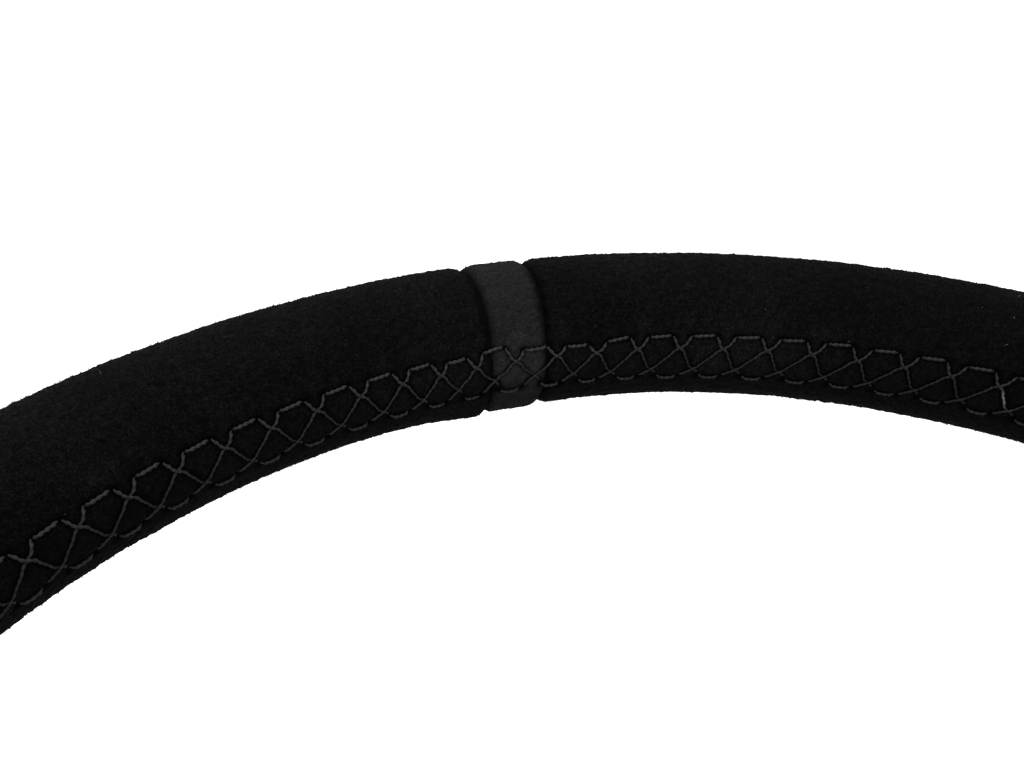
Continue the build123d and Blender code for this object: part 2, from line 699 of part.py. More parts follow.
if __name__ == "__main__":
    os.makedirs("parts", exist_ok=True)
    for name, shape in build().items():
        pieces = shape if isinstance(shape, list) else [shape]
        solids = [solid for piece in pieces for solid in piece.solids()]
        export_step(solids[0] if len(solids) == 1 else Compound(solids), f"parts/{name}.step")
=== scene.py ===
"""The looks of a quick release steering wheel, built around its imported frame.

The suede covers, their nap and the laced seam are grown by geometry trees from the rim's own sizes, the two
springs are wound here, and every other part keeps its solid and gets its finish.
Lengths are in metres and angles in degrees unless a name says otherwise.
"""
import json
import math

import bpy
from mathutils import Matrix, Vector


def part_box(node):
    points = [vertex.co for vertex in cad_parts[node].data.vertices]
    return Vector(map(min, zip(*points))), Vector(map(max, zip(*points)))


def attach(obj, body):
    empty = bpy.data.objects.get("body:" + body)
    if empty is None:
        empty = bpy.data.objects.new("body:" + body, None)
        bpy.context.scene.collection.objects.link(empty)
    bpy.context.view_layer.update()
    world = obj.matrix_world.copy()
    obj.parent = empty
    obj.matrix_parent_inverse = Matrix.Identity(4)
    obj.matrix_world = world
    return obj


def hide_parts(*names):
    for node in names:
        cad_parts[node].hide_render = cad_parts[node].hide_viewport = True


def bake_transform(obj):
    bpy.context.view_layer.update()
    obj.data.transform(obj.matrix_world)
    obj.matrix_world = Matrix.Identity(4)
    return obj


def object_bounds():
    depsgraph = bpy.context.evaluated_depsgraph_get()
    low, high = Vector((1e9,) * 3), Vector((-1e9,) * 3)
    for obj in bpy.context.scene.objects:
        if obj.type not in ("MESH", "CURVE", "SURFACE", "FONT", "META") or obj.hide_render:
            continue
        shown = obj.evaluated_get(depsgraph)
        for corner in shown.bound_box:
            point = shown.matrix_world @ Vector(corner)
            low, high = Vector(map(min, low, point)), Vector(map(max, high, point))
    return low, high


MM = 0.001
DEGREE = math.pi / 180
TWELVE_O_CLOCK = 90.0

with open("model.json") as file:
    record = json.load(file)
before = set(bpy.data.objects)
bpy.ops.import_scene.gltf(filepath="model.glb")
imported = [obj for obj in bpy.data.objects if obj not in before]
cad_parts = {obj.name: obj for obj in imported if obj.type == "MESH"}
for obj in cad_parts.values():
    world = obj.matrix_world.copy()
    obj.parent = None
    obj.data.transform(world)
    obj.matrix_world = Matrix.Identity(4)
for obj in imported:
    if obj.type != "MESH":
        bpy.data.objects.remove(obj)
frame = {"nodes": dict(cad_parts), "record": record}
cad_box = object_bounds()

# ------------------------------------------------------------------ sizes, from the frame

cover_low, cover_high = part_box("suede_upper_right")
foam_low, foam_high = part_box("foam_core")
_, band_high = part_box("centre_band")

GRIP_RADIUS = (cover_high.z - cover_low.z) / 2
RIM_RADIUS = cover_high.x - GRIP_RADIUS
RIM_HEIGHT = (cover_high.z + cover_low.z) / 2
FOAM_RADIUS = (foam_high.z - foam_low.z) / 2
SKIN = GRIP_RADIUS - FOAM_RADIUS
BAND_HALF_ANGLE = math.degrees(math.atan2(band_high.x, RIM_RADIUS + GRIP_RADIUS))

# The laced seam: where its two lines of holes run round the grip, and how the stitches are spaced. They crowd
# beside the first cross, which is next to twelve o'clock, and are counted from it, clockwise
UPPER_LINE, LOWER_LINE = 159.1, 195.9
SEAM_MIDDLE = (UPPER_LINE + LOWER_LINE) / 2
STITCH_PITCH = 3.83
FIRST_CROSS = 90.53
CROWDING_LEFT, CROWDING_RIGHT = 1.9, 0.8
CROWDING_REACH = 2.2
SEAM_HEIGHT = math.radians(LOWER_LINE - UPPER_LINE) * GRIP_RADIUS
STITCH_LENGTH = math.radians(STITCH_PITCH) * (RIM_RADIUS - GRIP_RADIUS)

# Heights in the seam are shares of its height, from the upper line of holes at zero to the lower line at one
UPPER_CROSS, LOWER_CROSS = 0.27, 0.76
KINK, KINK_HEIGHT = 0.09, 0.1
LEAN, LEAN_REACH = 0.32, 2.0

# The thread, of two plies, and the dents that it pulls into the suede
THREAD_RADIUS = 0.32 * MM
TWIST_LENGTH = 2.4 * MM
PLY_DEPTH = 0.32
GROOVE = 0.55 * MM
HOLE = 0.6 * MM
UPPER_HOLES, UPPER_HOLE_WIDTH = (0.26, 0.745), 0.05
LOWER_HOLES, LOWER_HOLE_WIDTH = (0.66, 0.17), 0.06

# How high the suede's folds stand, and how deep its grooves, holes and butt joint are, in millimetres
FOLD_RISE, GROOVE_DEPTH, HOLE_DEPTH, BUTT_DEPTH = 0.14, 0.2, 0.4, 0.06

# A diagonal strand is drawn tight below the upper cross: how much thinner and how much darker it is there
TIGHT_HEIGHT, TIGHT_REACH = 0.62, 0.3
TIGHTNESS, TIGHT_SHADE = 0.26, 2.2

# Each strand of a stitch runs between two places, given as stitches along the seam and height down it
FALLING_START, FALLING_RUN = -0.21, 0.81
FALLING_TOP, FALLING_DROP = 0.02, 0.87
RISING_START, RISING_RUN = 0.22, -0.99
RISING_TOP, RISING_DROP, RISING_BEND = 0.02, 0.95, 1.15

# Beside the centre band the lacing strays from its rule: the stitch and the height where it does, how far
# each way that reaches, and how much lower the thread runs there, as a share of the seam's height
STRAYS = (
    (0.5, 0.6, 0.0, 0.2, 0.075),
    (1.75, 0.7, 0.0, 0.2, 0.11),
    (-0.35, 0.4, 0.0, 0.2, -0.07),
    (-1.5, 0.5, 0.0, 0.2, 0.05),
    (-0.4, 1.7, 0.74, 0.17, -0.13),
)
# One strand, far to the right, is paler than the rest
PALE_STITCH, PALE_HEIGHT, PALENESS = 11.26, 0.5, 5.5

# Painted light lightens the nap between the threads near the top; the nap is darker further to the right.
# The threads are darker to the right too, the tight ones most
PAINTED_LIGHT_TURN, PAINTED_LIGHT_REACH = 85.0, 25.0
DARKEST_TURN, DARKEST_REACH = 45.0, 22.0
DARKENING_REACH = 6.32

# The underside of the rim is fuller beside the centre band, where the suede is doubled
UNDERSIDE, UNDERSIDE_REACH = 240.0, 38.0
FULLNESS_REACH = 16 * MM

# ---------------------------------------------------------------------- node trees


class Field:
    """A node socket that ordinary arithmetic works on."""

    def __init__(self, tree, socket):
        self.tree = tree
        self.socket = socket

    def __add__(self, other):
        return self.tree.math("ADD", self, other)

    def __sub__(self, other):
        return self.tree.math("SUBTRACT", self, other)

    def __rsub__(self, other):
        return self.tree.math("SUBTRACT", other, self)

    def __mul__(self, other):
        return self.tree.math("MULTIPLY", self, other)

    def __truediv__(self, other):
        return self.tree.math("DIVIDE", self, other)

    def __pow__(self, other):
        return self.tree.math("POWER", self, other)

    def __mod__(self, other):
        return self.tree.math("FLOORED_MODULO", self, other)

    def __lt__(self, other):
        return self.tree.math("LESS_THAN", self, other)

    def __gt__(self, other):
        return self.tree.math("GREATER_THAN", self, other)

    def __neg__(self):
        return self.tree.math("MULTIPLY", self, -1.0)

    __radd__ = __add__
    __rmul__ = __mul__


class Tree:
    """A node tree under construction: a geometry tree, a shader group or a material's own tree."""

    def __init__(self, tree):
        self.tree = tree

    def put(self, socket, value):
        """Links a field or a socket to an input, or sets its plain value."""
        if isinstance(value, Field):
            value = value.socket
        if isinstance(value, bpy.types.NodeSocket):
            self.tree.links.new(value, socket)
        else:
            socket.default_value = value

    def add(self, kind, inputs=None, **settings):
        """A new node, with its settings and its inputs by name or number."""
        node = self.tree.nodes.new(kind)
        for name, value in settings.items():
            setattr(node, name, value)
        for key, value in (inputs or {}).items():
            self.put(node.inputs[key], value)
        return node

    def field(self, kind, inputs=None, output=0, **settings):
        """One output of a new node, as a field."""
        return Field(self, self.add(kind, inputs, **settings).outputs[output])

    def math(self, operation, *values):
        return self.field("ShaderNodeMath", dict(enumerate(values)), operation=operation)

    def sin(self, value):
        return self.math("SINE", value)

    def cos(self, value):
        return self.math("COSINE", value)

    def exp(self, value):
        return self.math("EXPONENT", value)

    def least(self, one, other):
        return self.math("MINIMUM", one, other)

    def most(self, one, other):
        return self.math("MAXIMUM", one, other)

    def magnitude(self, value):
        return self.math("ABSOLUTE", value)

    def bell(self, value, width):
        """A smooth bump: one at zero, gone a couple of widths away."""
        ratio = value / width
        return self.exp(-(ratio * ratio))

    def noise(self, position, scale, detail=2.0, roughness=0.5):
        """Smooth noise about zero, from about -0.5 to 0.5."""
        inputs = {"Vector": position, "Scale": scale, "Detail": detail, "Roughness": roughness}
        return self.field("ShaderNodeTexNoise", inputs) - 0.5

    def point(self, x, y, z):
        return self.field("ShaderNodeCombineXYZ", {0: x, 1: y, 2: z})

    def shaded(self, colour, shade):
        """A colour made lighter or darker by a number that varies over the surface."""
        inputs = {0: colour, 1: self.point(shade, shade, shade)}
        return self.field("ShaderNodeVectorMath", inputs, operation="MULTIPLY")

    def random(self, low, high, seed):
        """A number that differs for every point."""
        return self.field("FunctionNodeRandomValue", {"Min": low, "Max": high, "Seed": seed}, output=1)

    def parts(self, vector):
        """A vector's three numbers, as fields."""
        node = self.add("ShaderNodeSeparateXYZ", {0: vector})
        return [Field(self, output) for output in node.outputs]


class Group(Tree):
    """A node group with named inputs and outputs."""

    def __init__(self, name, kind, inputs, outputs):
        super().__init__(bpy.data.node_groups.new(name, kind))
        for label, (socket, default) in inputs.items():
            item = self.tree.interface.new_socket(label, in_out="INPUT", socket_type=socket)
            if default is not None:
                item.default_value = default
        for label, socket in outputs.items():
            self.tree.interface.new_socket(label, in_out="OUTPUT", socket_type=socket)
        self.start = self.tree.nodes.new("NodeGroupInput")
        self.end = self.tree.nodes.new("NodeGroupOutput")

    def given(self, label):
        return Field(self, self.start.outputs[label])

    def result(self, label, value):
        self.put(self.end.inputs[label], value)


def geometry_group(name, inputs):
    group = Group(name, "GeometryNodeTree", inputs, {"Geometry": "NodeSocketGeometry"})
    group.tree.is_modifier = True
    return group


def number(default):
    return ("NodeSocketFloat", default)


def count(default):
    return ("NodeSocketInt", default)


def finish_geometry(group, geometry):
    """Ends a geometry tree in real geometry with its material on it."""
    real = group.field("GeometryNodeRealizeInstances", {0: geometry})
    inputs = {"Geometry": real, "Material": group.given("Material")}
    group.result("Geometry", group.field("GeometryNodeSetMaterial", inputs))
    return group.tree


def grow(name, tree, **sizes):
    """A plain mesh object grown by a geometry tree, with the tree's named inputs set."""
    host = bpy.data.objects.new(name, bpy.data.meshes.new(name))
    bpy.context.scene.collection.objects.link(host)
    modifier = host.modifiers.new(name, "NODES")
    modifier.node_group = tree
    for item in tree.interface.items_tree:
        key = item.name.lower().replace(" ", "_")
        if item.in_out == "INPUT" and key in sizes:
            modifier[item.identifier] = sizes[key]
    depsgraph = bpy.context.evaluated_depsgraph_get()
    depsgraph.update()
    mesh = bpy.data.meshes.new_from_object(host.evaluated_get(depsgraph), depsgraph=depsgraph)
    host.modifiers.clear()
    host.data = mesh
    mesh.name = name
    return host


# -------------------------------------------------------------- shared shader effects


def shader_group(name, inputs, outputs):
    return Group(name, "ShaderNodeTree", inputs, outputs)


def nap_group():
    """The look of a suede nap: fibres that lie unevenly, soft hand marks, and painted shade and light stored
    on the mesh.
    """
    group = shader_group(
        "nap",
        {
            "Colour": ("NodeSocketColor", (0.01, 0.01, 0.01, 1)),
            "Grain": number(0.35),
            "Marks": number(0.2),
            "Shade": number(0.6),
        },
        {"Colour": "NodeSocketColor", "Height": "NodeSocketFloat", "Roughness": "NodeSocketFloat"},
    )
    place = group.field("ShaderNodeTexCoord", output="Object")
    grain = group.noise(place, 2300.0, detail=3.0, roughness=0.75)
    clumps = group.noise(place, 800.0, detail=2.0)
    marks = group.noise(place, 40.0, detail=3.0)
    painted_shading_and_scuffs = group.field("ShaderNodeAttribute", output=2, attribute_name="painted_shading_and_scuffs")
    fibres = (grain * 9.0 + clumps * 2.5) * group.given("Grain")
    shade = group.exp(fibres + marks * group.given("Marks") * 5.0)
    # Painted shade and painted light stored on the mesh, with light scuffs, darken or lighten the nap
    shade = shade * (1.0 - painted_shading_and_scuffs * group.given("Shade"))
    group.result("Colour", group.shaded(group.given("Colour"), shade))
    group.result("Height", grain + clumps * 1.5)
    group.result("Roughness", marks * 0.2 + 0.92)
    return group.tree


def turned_group():
    """Fine lathe marks round the steering axis, with a little uneven polish."""
    group = shader_group(
        "turned_marks",
        {"Line Spacing": number(0.25 * MM)},
        {"Height": "NodeSocketFloat", "Polish": "NodeSocketFloat"},
    )
    place = group.field("ShaderNodeTexCoord", output="Object")
    x, y, z = group.parts(place)
    radius = group.math("SQRT", x * x + y * y)
    lines = group.point(radius / group.given("Line Spacing"), z / group.given("Line Spacing"), 0.0)
    marks = group.noise(lines, 1.0, detail=3.0, roughness=0.6)
    smears = group.noise(place, 80.0, detail=3.0)
    group.result("Height", marks)
    group.result("Polish", marks * 0.25 + smears * 0.3)
    return group.tree


def wear_group():
    """Where handling has rubbed a finish thin: exposed edges and a few scuffs, as a mask."""
    group = shader_group(
        "edge_wear", {"Amount": number(0.5), "Scale": number(400.0)}, {"Mask": "NodeSocketFloat"}
    )
    place = group.field("ShaderNodeTexCoord", output="Object")
    pointiness = group.field("ShaderNodeNewGeometry", output="Pointiness")
    scuffs = group.noise(place, group.given("Scale"), detail=4.0, roughness=0.65)
    inputs = {"Value": pointiness + scuffs * 0.04, "From Min": 0.52, "From Max": 0.58}
    edge = group.field("ShaderNodeMapRange", inputs)
    group.result("Mask", edge * group.given("Amount"))
    return group.tree


def grain_group():
    """A fine even grain, as a blasted, moulded or spark-eroded skin has."""
    group = shader_group(
        "skin_grain", {"Scale": number(1500.0)}, {"Height": "NodeSocketFloat", "Patches": "NodeSocketFloat"}
    )
    place = group.field("ShaderNodeTexCoord", output="Object")
    group.result("Height", group.noise(place, group.given("Scale"), detail=2.0, roughness=0.6))
    group.result("Patches", group.noise(place, 60.0, detail=4.0))
    return group.tree


NAP = nap_group()
TURNED = turned_group()
WEAR = wear_group()
GRAIN = grain_group()

# ----------------------------------------------------------------------- materials


class Finish(Tree):
    """A material whose Principled shader is set by plain values and by effects that vary over the surface."""

    def __init__(self, name, colour, roughness, metallic=0.0):
        material = bpy.data.materials.new(name)
        material.use_nodes = True
        super().__init__(material.node_tree)
        self.material = material
        self.shader = self.tree.nodes["Principled BSDF"]
        self.colour = (*colour, 1.0)
        self.set("Base Color", self.colour)
        self.set("Roughness", roughness)
        self.set("Metallic", metallic)

    def set(self, label, value):
        self.put(self.shader.inputs[label], value)

    def effect(self, tree, **inputs):
        """A shared effect placed in this material, with its own values."""
        node = self.tree.nodes.new("ShaderNodeGroup")
        node.node_tree = tree
        for label, value in inputs.items():
            self.put(node.inputs[label.replace("_", " ").title()], value)
        return {output.name: Field(self, output) for output in node.outputs}

    def bump(self, height, depth, strength=1.0):
        inputs = {"Height": height, "Distance": depth, "Strength": strength}
        self.set("Normal", self.field("ShaderNodeBump", inputs, output="Normal"))

    def blend(self, mask, colour):
        """The finish's own colour where the mask is zero, and another where it is one."""
        inputs = {0: mask, 6: self.colour, 7: (*colour, 1.0)}
        return self.field("ShaderNodeMix", inputs, output=2, data_type="RGBA")


def suede(name, colour, grain, marks):
    finish = Finish(name, colour, 0.95)
    finish.set("Specular IOR Level", 0.03)
    nap = finish.effect(NAP, colour=finish.colour, grain=grain, marks=marks, shade=0.85)
    finish.set("Base Color", nap["Colour"])
    finish.set("Roughness", nap["Roughness"])
    finish.set("Sheen Weight", 0.02)
    finish.set("Sheen Roughness", 0.4)
    finish.set("Sheen Tint", (0.6, 0.6, 0.6, 1.0))
    finish.bump(nap["Height"], 0.12 * MM, 0.8)
    return finish.material


def thread(name, colour):
    finish = Finish(name, colour, 0.6)
    finish.set("Specular IOR Level", 0.35)
    grain = finish.effect(GRAIN, scale=4200.0)
    tone = finish.field("ShaderNodeAttribute", output=2, attribute_name="tone")
    fibres = finish.blend(grain["Height"] + 0.5, [c * 0.5 for c in colour])
    finish.set("Base Color", finish.shaded(fibres, tone))
    finish.bump(grain["Height"], 0.08 * MM)
    return finish.material


def anodised(name, colour, roughness, worn=(0.30, 0.30, 0.31), turned=False, wear=0.35):
    """Dyed or clear anodised aluminium, blasted or turned, with its edges rubbed."""
    finish = Finish(name, colour, roughness, metallic=0.85)
    mask = finish.effect(WEAR, amount=wear)["Mask"]
    finish.set("Base Color", finish.blend(mask, worn))
    if turned:
        marks = finish.effect(TURNED, line_spacing=0.22 * MM)
        finish.set("Roughness", marks["Polish"] * 0.25 + roughness)
        finish.bump(marks["Height"], 0.012 * MM)
    else:
        grain = finish.effect(GRAIN, scale=1900.0)
        finish.set("Roughness", grain["Patches"] * 0.15 + roughness)
        finish.bump(grain["Height"], 0.02 * MM)
    return finish.material


def metal(name, colour, roughness, scale=900.0, depth=0.01 * MM, tarnish=None):
    finish = Finish(name, colour, roughness, metallic=1.0)
    grain = finish.effect(GRAIN, scale=scale)
    if tarnish:
        finish.set("Base Color", finish.blend(grain["Patches"] * 1.6 + 0.35, tarnish))
    finish.set("Roughness", grain["Patches"] * 0.2 + roughness)
    finish.bump(grain["Height"], depth)
    return finish.material


def plastic(name, colour, roughness, scale=1500.0, depth=0.03 * MM):
    finish = Finish(name, colour, roughness)
    grain = finish.effect(GRAIN, scale=scale)
    finish.set("Base Color", finish.blend(grain["Patches"] + 0.3, [c * 1.6 for c in colour]))
    finish.set("Roughness", grain["Patches"] * 0.2 + roughness)
    finish.bump(grain["Height"], depth)
    return finish.material


MATERIALS = {
    "suede_black": suede("suede_black", (0.0038, 0.0038, 0.0038), grain=0.62, marks=0.3),
    "suede_grey": suede("suede_grey", (0.0145, 0.0145, 0.0145), grain=0.34, marks=0.1),
    "thread_grey": thread("thread_grey", (0.036, 0.036, 0.036)),
    "lint": plastic("lint", (0.075, 0.075, 0.075), 0.9),
    # The foam is near black, darker than the suede, so the gaps between the panels show painted shade
    "rim_foam": suede("rim_foam", (0.002, 0.002, 0.002), grain=0.3, marks=0.1),
    "spoke_black": anodised("spoke_black", (0.018, 0.018, 0.019), 0.42),
    "black_anodised": anodised("black_anodised", (0.022, 0.022, 0.024), 0.34, turned=True),
    "collar_anodised": anodised(
        "collar_anodised", (0.42, 0.43, 0.45), 0.3, worn=(0.7, 0.7, 0.71), turned=True, wear=0.6
    ),
    "stub_steel": metal("stub_steel", (0.46, 0.46, 0.47), 0.3, tarnish=(0.3, 0.29, 0.28)),
    "spring_steel": metal("spring_steel", (0.36, 0.36, 0.37), 0.32),
    "core_steel": metal("core_steel", (0.3, 0.3, 0.31), 0.5),
    "ball_steel": metal("ball_steel", (0.72, 0.72, 0.74), 0.12, depth=0.002 * MM),
    "black_steel": metal("black_steel", (0.035, 0.035, 0.038), 0.42, tarnish=(0.06, 0.055, 0.05)),
    "rubber": plastic("rubber", (0.009, 0.009, 0.009), 0.72, scale=1100.0, depth=0.05 * MM),
    "horn_plastic": plastic("horn_plastic", (0.012, 0.012, 0.0125), 0.5, scale=1800.0),
    "bezel_plastic": plastic("bezel_plastic", (0.01, 0.01, 0.0105), 0.26, depth=0.006 * MM),
    "brass": metal("brass", (0.72, 0.52, 0.24), 0.3, tarnish=(0.45, 0.3, 0.14)),
}

for row in frame["record"]["subparts"]:
    node = frame["nodes"][row["node"]]
    node.data.materials.clear()
    node.data.materials.append(MATERIALS[row["material_slot"]])

# --------------------------------------------------------------------- suede covers


def grip_point(group, turn, section, radius):
    """The place of a point on the grip: how far round the rim, how far round the grip, and its radius."""
    turn, section = turn * DEGREE, section * DEGREE
    out = group.cos(section) * radius + group.given("Rim Radius")
    up = group.sin(section) * radius + group.given("Rim Height")
    return group.point(out * group.cos(turn), out * group.sin(turn), up)


GRIP_INPUTS = {
    "Rim Radius": number(0.159),
    "Rim Height": number(0.11),
    "Grip Radius": number(0.016),
    "Material": ("NodeSocketMaterial", None),
}


def crowding(group, side, stitches):
    """How many degrees nearer to the first cross a stitch is than an even spacing puts it. A side is below
    zero to the left of that cross."""
    most = (side < 0.0) * (CROWDING_LEFT - CROWDING_RIGHT) + CROWDING_RIGHT
    return most * (1.0 - group.bell(stitches, CROWDING_REACH))


def stitch_number(group, turn):
    """How many stitches a place on the rim is from the first cross, counted clockwise."""
    away = -(turn - FIRST_CROSS)
    far = group.magnitude(away)
    stitches = far / STITCH_PITCH
    for _ in range(3):
        stitches = (far + crowding(group, away, stitches)) / STITCH_PITCH
    return stitches * group.math("SIGN", away)


def stitch_turn(group, stitches):
    """The place on the rim of a stitch number: the inverse of stitch_number."""
    away = group.magnitude(stitches) * STITCH_PITCH - crowding(group, stitches, stitches)
    return FIRST_CROSS - away * group.math("SIGN", stitches)


def rightwards(group, stitches, reach):
    """Zero up to the first cross, and closer and closer to one to the right of it."""
    right = group.most(stitches, 0.0)
    return right * right / (right * right + reach**2)


def lean(group, stitches, height):
    """How far the lacing leans, in stitches: only to the right of the first cross, and more further on."""
    settled = rightwards(group, stitches, LEAN_REACH)
    return settled * (UPPER_CROSS - group.least(height, LOWER_CROSS)) * LEAN


def stray(group, stitches, height):
    """How much lower than its rule a thread runs, as a share of the seam's height."""
    lower = 0.0
    for place, reach, level, depth, amount in STRAYS:
        lower = group.bell(stitches - place, reach) * group.bell(height - level, depth) * amount + lower
    return lower


def crossing(group, height):
    """The sideways kinks where two strands hook round each other, at the upper and the lower cross."""
    kinks = 0.0
    for cross in (UPPER_CROSS, LOWER_CROSS):
        away = (height - cross) / KINK_HEIGHT
        kinks = away * group.exp(-(away * away)) * KINK + kinks
    return kinks


def falling_strand(group, height):
    """Where the strand that falls to the right is at a height of the seam, in stitches."""
    straight = (height - FALLING_TOP) * (FALLING_RUN / FALLING_DROP) + FALLING_START
    return straight + crossing(group, height)


def rising_strand(group, height):
    """Where the strand that rises to the right is at a height of the seam, in stitches."""
    share = group.most(height - RISING_TOP, 0.0) / RISING_DROP
    return share**RISING_BEND * RISING_RUN + RISING_START - crossing(group, height)


def lacing_pull(group, turn, section):
    """How far the lacing lifts the suede, in millimetres and mostly below zero, and how dark the nap is:
    above zero with painted shade in the grooves and round the holes beside the threads, where the nap is also
    flattened, and further to the right, and below zero with painted light between the threads and light
    scuffs just above them."""
    height = ((section % 360.0) - UPPER_LINE) / (LOWER_LINE - UPPER_LINE)
    stitch = stitch_number(group, turn)
    height = height - stray(group, stitch, height)
    down = height * SEAM_HEIGHT
    stitch = stitch - lean(group, stitch, height)
    phase = stitch % 1.0
    half = (stitch + 0.5) % 1.0 - 0.5

    def beside(offset, run, drop):
        """A groove along a diagonal strand, by the distance from it."""
        length, fall = run * STITCH_LENGTH, drop * SEAM_HEIGHT
        leaning = abs(fall) / math.hypot(length, fall)
        apart = (stitch - offset + 0.5) % 1.0 - 0.5
        return group.bell(apart * (STITCH_LENGTH * leaning), GROOVE)

    # The diagonals end at the two lines of holes. The grooves along those lines are open between stitches
    diagonals = beside(falling_strand(group, height), FALLING_RUN, FALLING_DROP)
    diagonals = diagonals + beside(rising_strand(group, height), RISING_RUN, RISING_DROP)
    diagonals = diagonals * (height > -0.04) * (height < 0.98)
    upper = group.bell(down, GROOVE) * (1.0 - group.bell(half, 0.15))
    lower = group.bell(down - SEAM_HEIGHT, GROOVE) * (1.0 - group.bell(phase - 0.42, 0.13))
    grooves = group.least(diagonals + upper + lower, 1.0)

    def holes_along(below, places, width):
        """The dents round one line of holes, by the distance below that line."""
        first, second = [group.bell(phase - place, width) for place in places]
        return (first + second) * group.bell(below, HOLE)

    holes = holes_along(down, UPPER_HOLES, UPPER_HOLE_WIDTH)
    holes = holes + holes_along(down - SEAM_HEIGHT, LOWER_HOLES, LOWER_HOLE_WIDTH)

    # Small folds stand up above the upper line, one to a stitch, and the cover's edges meet halfway down
    folds = group.bell(phase - 0.5, 0.2) * group.bell(group.most(-down, 0.0) - 2.2 * MM, 1.6 * MM)
    butt = group.bell(down - SEAM_HEIGHT / 2, 0.35 * MM)
    relief = folds * FOLD_RISE - grooves * GROOVE_DEPTH - holes * HOLE_DEPTH - butt * BUTT_DEPTH

    # Painted light between the two lines of holes, and light scuffs in patches just above them
    painted_light = group.bell(height - 0.5, 0.55) * group.bell(turn - PAINTED_LIGHT_TURN, PAINTED_LIGHT_REACH)
    patches = group.most(group.noise(group.point(turn, height, 0.0), 0.35), 0.0)
    scuffed = group.bell(down + 2.6 * MM, 2.0 * MM) * patches
    light_and_scuffs = (1.0 - grooves) * (painted_light + scuffed * 4.0)
    # The nap is made darker further to the right
    darker_right = group.bell(turn - DARKEST_TURN, DARKEST_REACH)
    # The nap's darkness: painted shade in the grooves and round the holes, where the nap is also flattened
    return relief, group.least(grooves + holes * 0.6, 1.0) + darker_right * 0.35 - light_and_scuffs


PANEL_INPUTS = {
    **GRIP_INPUTS,
    "Skin": number(0.0012),
    "Start": number(0.0),
    "End": number(90.0),
    "Lip": number(0.0024),
    "Waver": number(0.0),
    "Fullness": number(0.0),
}


def panel_ends(group, section):
    """A panel's two cut ends, which waver a little round the grip."""
    round_grip = [group.given("Grip Radius") * wave(section * DEGREE) for wave in (group.cos, group.sin)]
    waver = group.given("Waver") / group.given("Rim Radius") * (1 / DEGREE)
    near = group.noise(group.point(*round_grip, 0.0), 620.0, detail=1.0) * waver
    far = group.noise(group.point(*round_grip, 0.1), 620.0, detail=1.0) * waver
    return group.given("Start") + near, group.given("End") + far


def fullness(group, turn, section):
    """How far the underside stands out beside the centre band."""
    from_band = (turn - TWELVE_O_CLOCK) * DEGREE * group.given("Rim Radius")
    under = group.bell((section % 360.0) - UNDERSIDE, UNDERSIDE_REACH)
    return under * group.bell(from_band, FULLNESS_REACH) * group.given("Fullness")


def panel_surface(group, turn, section, start, end):
    """The radius of a panel's outer face about the grip's centre line, and how dark the nap is there."""
    grip = group.given("Grip Radius")
    to_end = group.least(turn - start, end - turn) * (group.given("Rim Radius") * DEGREE)
    short = 1.0 - group.most(group.least(to_end / group.given("Lip"), 1.0), 0.0)
    roll = short**1.9
    laced, dark = lacing_pull(group, turn, section)

    # The nap's own roughness, in millimetres, shows along the outline and is lower between the threads
    place = grip_point(group, turn, section, grip)
    seam = group.bell((section % 360.0) - SEAM_MIDDLE, 20.0)
    fluff = group.noise(place, 700.0, detail=2.0) * 0.7 + group.noise(place, 1500.0, detail=1.0) * 0.6
    waves = group.noise(place, 55.0, detail=2.0) * 0.5
    rough = fluff * (1.0 - seam * 0.6) + waves
    relief = (laced + rough) * MM * (1.0 - roll) + fullness(group, turn, section)
    # The rolled lip at each end of the panel gets painted shade, so the seams between panels show dark
    return grip + relief - group.given("Skin") * roll, group.least(dark + roll * 1.1, 1.0)


def named(group, geometry, name, value, kind="FLOAT", domain="POINT"):
    """Geometry with a value stored on it under a name."""
    inputs = {"Geometry": geometry, "Name": name, "Value": value}
    return group.field("GeometryNodeStoreNamedAttribute", inputs, data_type=kind, domain=domain)


# The share of a panel's map that its outer face takes; its lining takes the rest
OUTER_SHARE = 0.97


